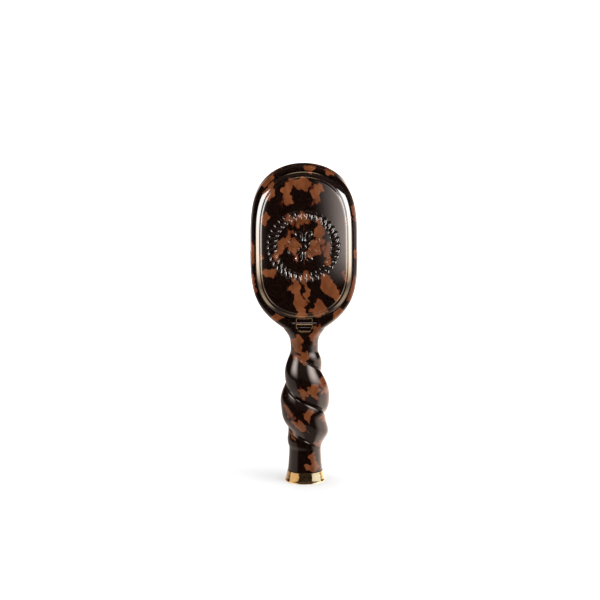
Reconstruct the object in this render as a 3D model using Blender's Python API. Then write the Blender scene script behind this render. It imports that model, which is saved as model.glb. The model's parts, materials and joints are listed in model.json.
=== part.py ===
"""Vanity hairbrush standing on its foot: hinged back panel towards -Y, bristles towards +Y."""

import math

import bmesh
import bpy

# Every length below is in millimetres; meshes are written in metres.
MM = 0.001

# Paddle head outline
HEAD_HALF_WIDTH = 39.4
HEAD_TOP = 240.0
HEAD_BOTTOM = 117.4
HEAD_WIDEST = 177.4
TOP_POWER = 3.74
BOTTOM_POWER = 3.2
HEAD_HALF_DEPTH = 9.5
HEAD_SHIFT_Y = -0.5
RIM_WIDTH = 2.0
RIM_DROP = 1.4
RIM_BLEND_TOP = 150.0
CROWN_START = 238.0
CROWN_CAP = 239.8
CROWN_STEPS = 13

# Neck, twisted handle and flared lower end
NECK_RADIUS = 10.3
NECK_FLARE = 6.1
NECK_FLARE_Z = 120.0
NECK_FLARE_LENGTH = 7.3
NECK_BLEND_POWER = 3.0
NECK_TOP = 126.5
NECK_BOTTOM = 101.5
LOWER_RADIUS = 11.2
LOWER_FLARE = 2.95
LOWER_FLARE_LENGTH = 15.5
HANDLE_END = 8.3
TWIST_MIDDLE = 62.2
TWIST_HALF_LENGTH = 37.0
TWIST_SWELL = 8.0
TWIST_SWELL_POWER = 1.9
TWIST_RATE_DEG = 5.2
TWIST_END_TURN_DEG = 40.0
TWIST_PHASE_DEG = 95.0
TWIST_LEAN_DEG = 30.0
HANDLE_SWAYS = ((37.0, 6.5, 1.8), (56.0, 6.0, 1.0))
CREASE_DEPTH = 0.24
CREASE_FADE_POWER = 6.0
BODY_SEGMENTS = 32

# Back panel recess, panel and its mirror
SEAT = (36.5, 124.9, 236.9)
COMPARTMENT = (33.0, 129.5, 227.0)
SEAT_FLOOR_Y = -7.1
COMPARTMENT_FLOOR_Y = -2.0
PANEL = (36.2, 125.2, 236.6)
PANEL_RINGS = (
    (31.0, -12.75), (20.0, -12.7), (9.0, -12.45), (3.6, -12.15), (2.2, -11.8), (1.0, -11.2),
    (0.3, -10.5), (0.0, -9.8), (0.0, -7.4), (2.0, -7.4), (2.2, -9.6), (10.0, -10.1), (31.0, -10.3),
)
MIRROR = (33.3, 128.2, 228.0)
MIRROR_Y = (-9.25, -8.15)
OVAL_POINTS = 44
OVAL_POWER = 3.74

# Raised emblem on the panel
EMBLEM_Z = 180.9
EMBLEM_RADIUS = 23.6
EMBLEM_TUBE = 3.7
EMBLEM_SINK = 0.3
EMBLEM_FLATNESS = 0.47
EMBLEM_BEADS = 36
ROSETTE_RADIUS = 13.0
ROSETTE_PETALS = 8

# Hinge at the neck
HINGE_Y = -9.4
HINGE_Z = 122.2
BARREL_RADIUS = 1.3
PIN_RADIUS = 0.45
PIN_BORE = 0.75
PIN_HALF_LENGTH = 9.2
LEAF_HALF_WIDTH = 6.1
LEAF_Y = (-9.9, -8.5)
LEAF_Z = (115.6, 127.0)
LEAF_CORNER = 3.0
LEVER_POCKET_HALF_WIDTH = 6.5
LEVER_POCKET_Z = (115.2, 127.4)
LEVER_POCKET_FLOOR_Y = -2.3
KNUCKLE_X = (6.4, 9.2)
KNUCKLE_POCKET = ((-9.5, 9.5), (-16.0, -7.8), (120.5, 124.1))

# Closing magnets
MAGNET_RADIUS = 2.0
MAGNET_POCKET_RADIUS = 2.3
MAGNET_Z = 231.2
LID_MAGNET_Y = (-9.3, -8.1)
BODY_MAGNET_Y = (-7.0, -5.8)
MAGNET_POCKET_FLOOR_Y = -5.5

# Cushion, its retaining frame and the bristle rows
CUSHION_POCKET = (34.2, 127.0, 234.0)
CUSHION_WELL = (31.2, 130.0, 231.0)
CUSHION_LEDGE_Y = 5.2
WELL_FLOOR_Y = 0.6
CUSHION = (33.9, 127.3, 233.7)
CUSHION_DOME = 5.0
CUSHION_SINK = 0.8
CUSHION_FLANGE_Y = (5.5, 7.0)
CUSHION_SKIN = 1.5
CUSHION_INSETS = (31.0, 20.0, 11.0, 5.5, 3.0)
RETAINER_INSET = 2.6
RETAINER_Y = (7.6, 9.2)
ROW_COUNT = 10
ROW_PITCH = 9.6
ROW_MIDDLE_Z = 180.6
BRISTLE_PITCH = 7.4
BRISTLE_EDGE_MARGIN = 6.0
BRISTLE_RADIUS = 0.6
BRISTLE_BALL = 0.95
BRISTLE_HOLE = 1.0
BRISTLE_REACH = 14.0
STRIP_Y = (0.9, 2.6)
STRIP_HALF_HEIGHT = 1.5
STRIP_OVERHANG = 2.0

# Foot
FOOT_CAP_PROFILE = (
    (13.2, 8.0), (13.85, 5.3), (14.6, 2.0), (15.05, 0.6), (14.85, 0.0), (13.2, 0.0), (13.0, 1.3),
    (3.9, 1.3), (3.9, 3.6), (1.9, 3.6), (1.9, 8.0),
)
FOOT_PAD_RADIUS = 12.7
FOOT_PAD_THICKNESS = 1.0
WEIGHT_PROFILE = ((6.7, 28.5), (6.7, 8.4), (2.0, 8.4), (2.0, 28.5))
BORE_PROFILE = ((7.0, 3.0), (7.0, 30.0), (1.9, 30.0), (1.9, 40.0))
SCREW_PROFILE = ((3.5, 1.35), (3.5, 3.3), (1.6, 3.3), (1.6, 38.5))
ROUND_SEGMENTS = 28

TORTOISESHELL = ((0.055, 0.024, 0.012, 1.0), 0.12, 0.0)
GOLD = ((0.83, 0.58, 0.28, 1.0), 0.15, 1.0)
STEEL = ((0.62, 0.62, 0.64, 1.0), 0.30, 1.0)
MIRROR_GLASS = ((0.90, 0.91, 0.92, 1.0), 0.02, 1.0)
CUSHION_RUBBER = ((0.030, 0.020, 0.015, 1.0), 0.55, 0.0)
NYLON = ((0.025, 0.016, 0.012, 1.0), 0.30, 0.0)
PAD_RUBBER = ((0.040, 0.038, 0.036, 1.0), 0.70, 0.0)


def clear_scene():
    for item in list(bpy.data.objects):
        bpy.data.objects.remove(item, do_unlink=True)


def new_collection(name):
    group = bpy.data.collections.new(name)
    bpy.context.scene.collection.children.link(group)
    return group


def new_material(name, look):
    color, roughness, metallic = look
    material = bpy.data.materials.new(name)
    material.use_nodes = True
    shader = material.node_tree.nodes["Principled BSDF"]
    shader.inputs["Base Color"].default_value = color
    shader.inputs["Roughness"].default_value = roughness
    shader.inputs["Metallic"].default_value = metallic
    return material


def loft(bm, rings, closed=False):
    """Skin a chain of equal rings; an open chain is capped, a closed one joins end to start."""
    loops = [[bm.verts.new([c * MM for c in point]) for point in ring] for ring in rings]
    pairs = list(zip(loops, loops[1:]))
    if closed:
        pairs.append((loops[-1], loops[0]))
    else:
        bm.faces.new(loops[0])
        bm.faces.new(loops[-1])
    for low, high in pairs:
        for a in range(len(low)):
            b = (a + 1) % len(low)
            bm.faces.new((low[a], low[b], high[b], high[a]))


def finish(name, bm, group, material=None):
    bmesh.ops.recalc_face_normals(bm, faces=bm.faces)
    mesh = bpy.data.meshes.new(name)
    bm.to_mesh(mesh)
    bm.free()
    item = bpy.data.objects.new(name, mesh)
    group.objects.link(item)
    if material:
        mesh.materials.append(material)
        mesh.shade_smooth()
        mesh.set_sharp_from_angle(angle=math.radians(35))
    return item


def lofted(name, rings, group, material=None, closed=False):
    bm = bmesh.new()
    loft(bm, rings, closed)
    return finish(name, bm, group, material)


def combine(target, tool, operation):
    """Boolean with a helper object, which is kept out of the render."""
    tool.hide_render = True
    tool.display_type = "WIRE"
    modifier = target.modifiers.new(tool.name, "BOOLEAN")
    modifier.operation = operation
    modifier.solver = "EXACT"
    modifier.object = tool


def oval_reach(u, power):
    return math.copysign(abs(u) ** (2.0 / power), u)


def oval(outline, y, inset=0.0):
    """Ring of the head's egg-shaped family in a plane of constant y."""
    half_width, bottom, top = outline
    points = []
    for k in range(OVAL_POINTS):
        angle = 2.0 * math.pi * (k + 0.5) / OVAL_POINTS
        up = math.sin(angle) >= 0.0
        height = (top - inset - HEAD_WIDEST) if up else (HEAD_WIDEST - bottom - inset)
        rise = oval_reach(math.sin(angle), OVAL_POWER) * height
        points.append(((half_width - inset) * math.cos(angle), y, HEAD_WIDEST + rise))
    return points


def oval_level(outline, x, z):
    """0 at the middle of an oval, 1 on its edge."""
    half_width, bottom, top = outline
    up = z >= HEAD_WIDEST
    height = (top - HEAD_WIDEST) if up else (HEAD_WIDEST - bottom)
    return math.sqrt((x / half_width) ** 2 + (abs(z - HEAD_WIDEST) / height) ** OVAL_POWER)


def turned(profile, segments=ROUND_SEGMENTS):
    """Rings of a turned shape about the z axis from (radius, z) pairs."""
    turns = [2.0 * math.pi * k / segments for k in range(segments)]
    return [[(r * math.cos(t), r * math.sin(t), z) for t in turns] for r, z in profile]


def cylinder_x(x_range, y, z, radius, segments=16):
    turns = [2.0 * math.pi * k / segments for k in range(segments)]
    return [[(x, y + radius * math.cos(t), z + radius * math.sin(t)) for t in turns] for x in x_range]


def cylinder_y(y_range, x, z, radius, segments=20):
    turns = [2.0 * math.pi * k / segments for k in range(segments)]
    return [[(x + radius * math.cos(t), y, z + radius * math.sin(t)) for t in turns] for y in y_range]


def box(x_range, y_range, z_range):
    (x0, x1), (y0, y1), (z0, z1) = x_range, y_range, z_range
    return [[(x0, y, z0), (x1, y, z0), (x1, y, z1), (x0, y, z1)] for y in (y0, y1)]


def tab(half_width, z_range, y_range, corner):
    """Plate with a straight top and two rounded lower corners."""
    low, high = z_range
    outline = [(half_width, high), (-half_width, high)]
    for k in range(6):
        turn = math.pi + 0.5 * math.pi * k / 5
        outline.append((corner * math.cos(turn) - half_width + corner, low + corner + corner * math.sin(turn)))
    for k in range(6):
        turn = 1.5 * math.pi + 0.5 * math.pi * k / 5
        outline.append((corner * math.cos(turn) + half_width - corner, low + corner + corner * math.sin(turn)))
    return [[(x, y, z) for x, z in outline] for y in y_range]


def head_half_width(z):
    up = z >= HEAD_WIDEST
    height = (HEAD_TOP - HEAD_WIDEST) if up else (HEAD_WIDEST - HEAD_BOTTOM)
    power = TOP_POWER if up else BOTTOM_POWER
    rest = 1.0 - (abs(z - HEAD_WIDEST) / height) ** power
    return HEAD_HALF_WIDTH * math.sqrt(max(rest, 0.0))


def smooth_step(value, low, high):
    t = min(max((value - low) / (high - low), 0.0), 1.0)
    return t * t * (3.0 - 2.0 * t)


def head_section(z):
    """Ring through the neck and head at height z, with corners that are wider than deep."""
    blend = smooth_step(z, NECK_BOTTOM, NECK_TOP)
    rim = smooth_step(z, NECK_BOTTOM, RIM_BLEND_TOP)
    neck = NECK_RADIUS + NECK_FLARE * math.exp(-(((z - NECK_FLARE_Z) / NECK_FLARE_LENGTH) ** 2))
    head = head_half_width(z)
    if z < HEAD_WIDEST:
        width = (head ** NECK_BLEND_POWER + neck ** NECK_BLEND_POWER) ** (1.0 / NECK_BLEND_POWER)
        width = max(width * blend + neck * (1.0 - blend), NECK_RADIUS) if z > HEAD_BOTTOM else neck
    else:
        width = head
    depth = NECK_RADIUS + (HEAD_HALF_DEPTH - NECK_RADIUS) * blend
    if z > CROWN_START:
        fall = math.sqrt(max(1.0 - ((z - CROWN_START) / (HEAD_TOP - CROWN_START)) ** 2, 0.0))
        depth -= RIM_DROP * (1.0 - fall)
    corner_x = min(NECK_RADIUS + (RIM_WIDTH - NECK_RADIUS) * rim, width)
    corner_y = min(NECK_RADIUS + (RIM_DROP - NECK_RADIUS) * rim, depth)
    shift = HEAD_SHIFT_Y * blend
    ring = []
    for k in range(BODY_SEGMENTS):
        turn = 2.0 * math.pi * (k + 0.5) / BODY_SEGMENTS
        c, s = math.cos(turn), math.sin(turn)
        x = math.copysign(width - corner_x, c) + corner_x * c
        y = math.copysign(depth - corner_y, s) + corner_y * s
        ring.append((-x, shift - y, z))
    return ring


def handle_radius(z):
    low = LOWER_RADIUS + LOWER_FLARE * math.exp(-z / LOWER_FLARE_LENGTH)
    share = smooth_step(z, TWIST_MIDDLE - 30.0, TWIST_MIDDLE + 30.0)
    return low * (1.0 - share) + NECK_RADIUS * share


def crease_angle(z):
    s = (z - TWIST_MIDDLE) / TWIST_HALF_LENGTH
    return TWIST_PHASE_DEG - (z - TWIST_MIDDLE) * TWIST_RATE_DEG - TWIST_END_TURN_DEG * max(min(s, 1.0), -1.0) ** 3


def handle_sway(z):
    """Small sideways drift of the strands, so the two sides of the twist are not mirror images."""
    return sum(reach * math.exp(-((z - middle) / length) ** 2) for middle, length, reach in HANDLE_SWAYS)


def handle_section(z):
    """Ring of the two-strand twist; creases sit at crease and crease + 180 degrees."""
    s = (z - TWIST_MIDDLE) / TWIST_HALF_LENGTH
    swell = max(1.0 - abs(s) ** TWIST_SWELL_POWER, 0.0)
    fade = max(1.0 - abs(s) ** CREASE_FADE_POWER, 0.0)
    crest = handle_radius(z) + TWIST_SWELL * swell
    depth = CREASE_DEPTH * fade
    crease = math.radians(crease_angle(z))
    ring = []
    for k in range(BODY_SEGMENTS):
        around = 2.0 * math.pi * k / BODY_SEGMENTS
        u = abs(math.sin(around))
        radius = crest * (depth * u + math.sqrt(1.0 - depth ** 2 * (1.0 - u * u))) / (1.0 + depth)
        turn = crease + around
        turn -= math.radians(TWIST_LEAN_DEG) * fade * math.cos(turn)
        ring.append((handle_sway(z) - radius * math.cos(turn), -radius * math.sin(turn), z))
    return ring


def stations(low, high, count):
    return [low + (high - low) * k / (count - 1) for k in range(count)]


def crown_height(share):
    """Heights that crowd together towards the crown, where the outline turns fastest."""
    return HEAD_WIDEST + (CROWN_CAP - HEAD_WIDEST) * math.sin(0.5 * math.pi * share)


def body_rings():
    """Handle rings turned so their vertices run on into the neck rings without a step."""
    twist_low = TWIST_MIDDLE - TWIST_HALF_LENGTH
    twist_high = TWIST_MIDDLE + TWIST_HALF_LENGTH
    handle = stations(HANDLE_END, twist_low, 4)[:-1] + stations(twist_low, twist_high, 27)
    head = stations(103.0, 115.5, 5) + stations(118.0, 127.5, 5) + stations(131.5, 157.5, 4)
    head += [HEAD_WIDEST] + [crown_height(k / CROWN_STEPS) for k in range(1, CROWN_STEPS + 1)]
    rings = [handle_section(z) for z in handle]
    step = 360.0 / BODY_SEGMENTS
    shift = round(crease_angle(twist_high) / step - 0.5) % BODY_SEGMENTS
    for z in head:
        ring = head_section(z)
        rings.append(ring[shift:] + ring[:shift])
    return rings


def knuckle(x_range):
    outline = [(-7.4, HINGE_Z - BARREL_RADIUS), (-7.4, HINGE_Z + BARREL_RADIUS)]
    for k in range(9):
        turn = 0.5 * math.pi + math.pi * k / 8
        outline.append((HINGE_Y + BARREL_RADIUS * math.cos(turn), HINGE_Z + BARREL_RADIUS * math.sin(turn)))
    return [[(x, y, z) for y, z in outline] for x in x_range]


def build_body(parts, helpers, material):
    body = lofted("brush_body", body_rings(), parts, material)
    seat = [oval(SEAT, -16.0), oval(SEAT, SEAT_FLOOR_Y)]
    seat += [oval(COMPARTMENT, SEAT_FLOOR_Y), oval(COMPARTMENT, COMPARTMENT_FLOOR_Y)]
    well = [oval(CUSHION_POCKET, 16.0), oval(CUSHION_POCKET, CUSHION_LEDGE_Y)]
    well += [oval(CUSHION_WELL, CUSHION_LEDGE_Y), oval(CUSHION_WELL, WELL_FLOOR_Y)]
    lever = tab(LEVER_POCKET_HALF_WIDTH, LEVER_POCKET_Z, (-16.0, LEVER_POCKET_FLOOR_Y), LEAF_CORNER)
    cuts = {
        "cut_panel_seat": seat,
        "cut_cushion_well": well,
        "cut_lever_pocket": lever,
        "cut_knuckle_pocket": box(*KNUCKLE_POCKET),
        "cut_magnet_pocket": cylinder_y((-12.0, MAGNET_POCKET_FLOOR_Y), 0.0, MAGNET_Z, MAGNET_POCKET_RADIUS),
        "cut_foot_bore": turned(BORE_PROFILE),
    }
    for name, rings in cuts.items():
        combine(body, lofted(name, rings, helpers), "DIFFERENCE")
    for side, x_range in (("left", (-KNUCKLE_X[1], -KNUCKLE_X[0])), ("right", KNUCKLE_X)):
        combine(body, lofted("add_knuckle_" + side, knuckle(x_range), helpers), "UNION")
    bore = cylinder_x((-9.45, 9.45), HINGE_Y, HINGE_Z, PIN_BORE)
    combine(body, lofted("cut_hinge_bore", bore, helpers), "DIFFERENCE")
    return body


def emblem_border():
    """Rope of slanted beads round the emblem, as a closed tube."""
    rings = []
    steps = EMBLEM_BEADS * 2
    y_middle = PANEL_RINGS[1][1] + EMBLEM_SINK
    for k in range(steps):
        around = 2.0 * math.pi * k / steps
        tube = EMBLEM_TUBE * (1.0 if k % 2 else 0.84)
        ring = []
        for j in range(6):
            turn = math.pi * (j + 0.5) / 3.0
            reach = EMBLEM_RADIUS + tube * math.cos(turn)
            slant = around + 0.045 * math.cos(turn)
            x, z = reach * math.cos(slant), reach * math.sin(slant)
            ring.append((x, y_middle + EMBLEM_FLATNESS * tube * math.sin(turn), EMBLEM_Z + z))
        rings.append(ring)
    return rings


def rosette():
    """Low dome with a petalled edge."""
    rings = []
    for share, y in ((1.0, -11.4), (1.0, -12.75), (0.8, -13.3), (0.4, -13.6)):
        ring = []
        for k in range(ROSETTE_PETALS * 4):
            turn = 2.0 * math.pi * k / (ROSETTE_PETALS * 4)
            petal = 0.72 + 0.28 * abs(math.cos(0.5 * ROSETTE_PETALS * turn))
            radius = ROSETTE_RADIUS * share * petal
            ring.append((radius * math.cos(turn), y, EMBLEM_Z + radius * math.sin(turn)))
        rings.append(ring)
    return rings


def build_panel(parts, helpers, material):
    panel = lofted("back_panel", [oval(PANEL, y, inset) for inset, y in PANEL_RINGS], parts, material)
    leaf = tab(LEAF_HALF_WIDTH, LEAF_Z, LEAF_Y, LEAF_CORNER)
    barrel = cylinder_x((-LEAF_HALF_WIDTH, LEAF_HALF_WIDTH), HINGE_Y, HINGE_Z, BARREL_RADIUS)
    bore = cylinder_x((-9.45, 9.45), HINGE_Y, HINGE_Z, PIN_BORE)
    combine(panel, lofted("add_hinge_leaf", leaf, helpers), "UNION")
    combine(panel, lofted("add_hinge_barrel", barrel, helpers), "UNION")
    combine(panel, lofted("cut_panel_bore", bore, helpers), "DIFFERENCE")
    combine(panel, lofted("add_emblem_border", emblem_border(), helpers, closed=True), "UNION")
    combine(panel, lofted("add_rosette", rosette(), helpers), "UNION")
    return panel


def dome_y(x, z):
    rise = max(1.0 - oval_level(CUSHION, x, z) ** 2, 0.0)
    return CUSHION_FLANGE_Y[1] + CUSHION_DOME * rise - CUSHION_SINK


def cushion_rings():
    """Closed skin: domed front from the middle outwards, flange, then the inside back to the middle."""
    outer, inner = [], []
    for inset in CUSHION_INSETS:
        ring = oval(CUSHION, 0.0, inset)
        outer.append([(x, dome_y(x, z), z) for x, _, z in ring])
        inner.append([(x, dome_y(x, z) - CUSHION_SKIN, z) for x, _, z in ring])
    flange = [oval(CUSHION, CUSHION_FLANGE_Y[1]), oval(CUSHION, CUSHION_FLANGE_Y[0])]
    flange.append(oval(CUSHION, CUSHION_FLANGE_Y[0], CUSHION_INSETS[-1]))
    return outer + flange + inner[::-1]


def row_heights():
    first = ROW_MIDDLE_Z - 0.5 * (ROW_COUNT - 1) * ROW_PITCH
    return [first + ROW_PITCH * k for k in range(ROW_COUNT)]


def row_positions(z, index):
    """Bristle x positions in one row; alternate rows are offset by half a pitch."""
    offset = 0.5 * BRISTLE_PITCH if index % 2 else 0.0
    found = []
    for k in range(-6, 7):
        x = offset + k * BRISTLE_PITCH
        inside = (CUSHION[0] - BRISTLE_EDGE_MARGIN, CUSHION[1] + BRISTLE_EDGE_MARGIN, CUSHION[2] - BRISTLE_EDGE_MARGIN)
        if oval_level(inside, x, z) < 1.0:
            found.append(x)
    return found


def bristle(x, z):
    tip = dome_y(x, z) + BRISTLE_REACH
    levels = ((STRIP_Y[0] + 0.6, BRISTLE_RADIUS), (tip - 1.7, BRISTLE_RADIUS), (tip - 1.0, BRISTLE_BALL), (tip, 0.4))
    return [cylinder_y((y,), x, z, radius, 6)[0] for y, radius in levels]


def build_rows(parts, helpers, material):
    for index, z in enumerate(row_heights()):
        label = "{:02d}".format(index + 1)
        xs = row_positions(z, index)
        reach = (xs[0] - STRIP_OVERHANG, xs[-1] + STRIP_OVERHANG)
        strip = box(reach, STRIP_Y, (z - STRIP_HALF_HEIGHT, z + STRIP_HALF_HEIGHT))
        row = lofted("bristle_row_" + label, strip, parts, material)
        bm = bmesh.new()
        for x in xs:
            loft(bm, bristle(x, z))
        combine(row, finish("add_bristles_" + label, bm, helpers), "UNION")


def build_cushion(parts, helpers, material):
    cushion = lofted("cushion_pad", cushion_rings(), parts, material)
    bm = bmesh.new()
    for index, z in enumerate(row_heights()):
        for x in row_positions(z, index):
            loft(bm, cylinder_y((3.0, 16.0), x, z, BRISTLE_HOLE, 6))
    combine(cushion, finish("cut_bristle_holes", bm, helpers), "DIFFERENCE")
    return cushion


def build_retainer(parts, material):
    rings = [oval(CUSHION, RETAINER_Y[0]), oval(CUSHION, RETAINER_Y[1])]
    rings += [oval(CUSHION, RETAINER_Y[1], RETAINER_INSET), oval(CUSHION, RETAINER_Y[0], RETAINER_INSET)]
    return lofted("cushion_retainer", rings, parts, material, closed=True)


def build_small_parts(parts, looks):
    lofted("panel_mirror", [oval(MIRROR, y) for y in MIRROR_Y], parts, looks["mirror"])
    lofted("panel_magnet", cylinder_y(LID_MAGNET_Y, 0.0, MAGNET_Z, MAGNET_RADIUS), parts, looks["steel"])
    lofted("body_magnet", cylinder_y(BODY_MAGNET_Y, 0.0, MAGNET_Z, MAGNET_RADIUS), parts, looks["steel"])
    pin = cylinder_x((-PIN_HALF_LENGTH, PIN_HALF_LENGTH), HINGE_Y, HINGE_Z, PIN_RADIUS, 12)
    lofted("hinge_pin", pin, parts, looks["steel"])
    lofted("foot_cap", turned(FOOT_CAP_PROFILE, 40), parts, looks["gold"], closed=True)
    lofted("foot_weight", turned(WEIGHT_PROFILE), parts, looks["steel"], closed=True)
    lofted("foot_screw", turned(SCREW_PROFILE, 16), parts, looks["steel"])
    pad = ((FOOT_PAD_RADIUS, 0.0), (FOOT_PAD_RADIUS, FOOT_PAD_THICKNESS))
    lofted("foot_pad", turned(pad, 40), parts, looks["pad"])


def main():
    clear_scene()
    parts = new_collection("vanity_hairbrush")
    helpers = new_collection("helpers")
    looks = {
        "shell": new_material("tortoiseshell", TORTOISESHELL),
        "gold": new_material("polished_gold", GOLD),
        "steel": new_material("steel", STEEL),
        "mirror": new_material("mirror_glass", MIRROR_GLASS),
        "cushion": new_material("cushion_rubber", CUSHION_RUBBER),
        "nylon": new_material("bristle_nylon", NYLON),
        "pad": new_material("pad_rubber", PAD_RUBBER),
    }
    build_body(parts, helpers, looks["shell"])
    build_panel(parts, helpers, looks["shell"])
    build_cushion(parts, helpers, looks["cushion"])
    build_retainer(parts, looks["shell"])
    build_rows(parts, helpers, looks["nylon"])
    build_small_parts(parts, looks)


main()
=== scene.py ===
"""Looks of the vanity hairbrush: detailed shell, panel, cushion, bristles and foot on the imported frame."""
import json
import math

import bmesh
import bpy
import numpy as np
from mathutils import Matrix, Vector


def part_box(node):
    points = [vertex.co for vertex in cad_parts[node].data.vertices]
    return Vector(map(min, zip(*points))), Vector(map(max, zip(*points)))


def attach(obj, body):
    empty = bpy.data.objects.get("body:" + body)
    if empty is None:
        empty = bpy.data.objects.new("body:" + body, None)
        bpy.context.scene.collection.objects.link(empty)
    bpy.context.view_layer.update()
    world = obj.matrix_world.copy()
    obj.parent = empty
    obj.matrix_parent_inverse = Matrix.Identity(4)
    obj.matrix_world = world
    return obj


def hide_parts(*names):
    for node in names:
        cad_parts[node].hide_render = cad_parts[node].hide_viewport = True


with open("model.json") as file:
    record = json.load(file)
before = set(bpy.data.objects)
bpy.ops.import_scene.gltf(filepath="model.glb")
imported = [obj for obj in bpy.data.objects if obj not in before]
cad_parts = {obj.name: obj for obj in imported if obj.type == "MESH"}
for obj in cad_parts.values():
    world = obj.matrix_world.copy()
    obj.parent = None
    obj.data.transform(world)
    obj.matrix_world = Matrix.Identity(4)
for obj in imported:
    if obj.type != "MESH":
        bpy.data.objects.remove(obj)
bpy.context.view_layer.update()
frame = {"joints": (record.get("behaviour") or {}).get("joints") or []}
MM = 0.001


def node_box(name):
    """A CAD node's box in millimetres."""
    low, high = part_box(name)
    return np.array(low) / MM, np.array(high) / MM


# ---------------------------------------------------------------- dimensions, in millimetres
BODY_LOW = node_box("brush_body")[0]
MIRROR_LOW, MIRROR_HIGH = node_box("panel_mirror")
HINGE = np.array(frame["joints"][0]["pos_m"]) / MM

HEAD_HALF_WIDTH, HEAD_TOP, HEAD_BOTTOM, HEAD_WIDEST = 39.4, 240.0, 117.4, 177.4
TOP_POWER, BOTTOM_POWER, OVAL_POWER = 3.74, 3.2, 3.74
HEAD_HALF_DEPTH, HEAD_SHIFT_Y = 9.5, -0.5
RIM_WIDTH, RIM_DROP, RIM_BLEND_TOP, CROWN_START = 1.1, 1.1, 150.0, 238.9
RIM_SLOPE_WIDTH, RIM_SLOPE_DROP = 4.2, 0.4
NECK_RADIUS, NECK_FLARE, NECK_FLARE_Z, NECK_FLARE_LENGTH = 10.3, 6.1, 120.0, 7.3
NECK_BLEND_POWER, NECK_TOP, NECK_BOTTOM = 3.0, 126.5, 101.5
LOWER_RADIUS, LOWER_FLARE, LOWER_FLARE_LENGTH = 11.2, 2.95, 15.5
TWIST_MIDDLE, TWIST_HALF_LENGTH, TWIST_SWELL, TWIST_SWELL_POWER = 62.2, 37.0, 8.0, 1.9
TWIST_RATE_DEG, TWIST_END_TURN_DEG, TWIST_PHASE_DEG, TWIST_LEAN_DEG = 5.2, 40.0, 95.0, 30.0
# places where the handle leans to +X: middle z, half length, reach
HANDLE_SWAYS = ((37.0, 6.5, 1.8), (56.0, 6.0, 1.0))
CREASE_DEPTH, CREASE_FADE_POWER = 0.24, 6.0
GROOVE_DEPTH, GROOVE_WIDTH = 1.1, 0.10

SEAT, SEAT_FLOOR_Y = (36.5, 124.9, 236.9), -7.1
COMPARTMENT, COMPARTMENT_FLOOR_Y = (33.0, 129.5, 227.0), -2.0
PANEL = (36.2, 125.2, 236.6)
MIRROR = (33.3, 128.2, 228.0)
CUSHION_POCKET, CUSHION_LEDGE_Y = (34.2, 127.0, 234.0), 5.2
CUSHION_WELL, WELL_FLOOR_Y = (31.2, 130.0, 231.0), 0.6
CUSHION = (33.9, 127.3, 233.7)
EMBLEM_Z, EMBLEM_RADIUS, EMBLEM_BEADS = 180.9, 23.6, 36
MAGNET_Z = 231.2

# lever pocket: half width, bottom, top and corner; pin pocket: half width, bottom and top
LEVER_POCKET, PIN_POCKET = (6.5, 115.2, 127.4, 3.0), (9.5, 120.5, 124.1)
OUTSIDE_Y = 16.0
KNUCKLE_RADIUS, KNUCKLE_BACK_Y = 1.3, -7.4
KNUCKLE_ENDS, KNUCKLE_SCALES = (6.4, 6.55, 6.8, 8.8, 9.05, 9.2), (0.88, 0.97, 1.0, 1.0, 0.97, 0.88)
PIN_BORE_RADIUS, PIN_HALF_LENGTH = 0.75, 9.2

CUSHION_TOP_Y, CUSHION_RISE, CUSHION_SINK, CUSHION_THICKNESS = 7.0, 5.0, 0.8, 1.5
ROW_COUNT, ROW_PITCH, ROWS_MIDDLE_Z, BRISTLE_PITCH, BRISTLE_EDGE = 10, 9.6, 180.6, 7.4, 6.0
BRISTLE_RISE, BALL_RADIUS = 14.0, 0.95

CAMERA_DOWN_DEG, CAMERA_ROLL_DEG, CAMERA_LENS, CAMERA_SHIFT = 11.5, 0.35, 161.0, -0.0015
CAMERA_PLACE = (0.0, -1.956, 0.536)

BODY_SIDES = 224
OVAL_SIDES, OVAL_CROWDING = 320, 0.21


# ---------------------------------------------------------------- mesh helpers
def ring_faces(count, sides, closed_chain=False):
    """Quads between consecutive rings; every ring has the same number of points."""
    faces = []
    last = count if closed_chain else count - 1
    for i in range(last):
        low, high = i * sides, ((i + 1) % count) * sides
        for a in range(sides):
            b = (a + 1) % sides
            faces.append((low + a, low + b, high + b, high + a))
    return faces


class Shells:
    """Gathers several closed skins into one mesh."""

    def __init__(self):
        self.points, self.faces, self.count = [], [], 0

    def add(self, points, faces):
        self.points.append(np.asarray(points, float).reshape(-1, 3))
        self.faces += [tuple(self.count + v for v in face) for face in faces]
        self.count += len(self.points[-1])

    def skin(self, rings, closed_chain=False):
        rings = np.asarray(rings, float)
        count, sides = rings.shape[:2]
        faces = ring_faces(count, sides, closed_chain)
        if not closed_chain:
            faces.append(tuple(range(sides))[::-1])
            faces.append(tuple(range((count - 1) * sides, count * sides)))
        self.add(rings.reshape(-1, 3), faces)

    def build(self, name, material=None, sharp=40.0):
        mesh = bpy.data.meshes.new(name)
        mesh.from_pydata((np.concatenate(self.points) * MM).tolist(), [], self.faces)
        bm = bmesh.new()
        bm.from_mesh(mesh)
        bmesh.ops.recalc_face_normals(bm, faces=bm.faces)
        bm.to_mesh(mesh)
        bm.free()
        item = bpy.data.objects.new(name, mesh)
        bpy.context.scene.collection.objects.link(item)
        if material:
            dress(item, material, sharp)
        return item


def dress(item, material, sharp=40.0):
    item.data.materials.clear()
    item.data.materials.append(material)
    item.data.shade_smooth()
    item.data.set_sharp_from_angle(angle=math.radians(sharp))


def bake_modifiers(item):
    view = bpy.context.evaluated_depsgraph_get()
    mesh = bpy.data.meshes.new_from_object(item.evaluated_get(view))
    item.modifiers.clear()
    item.data = mesh


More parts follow.
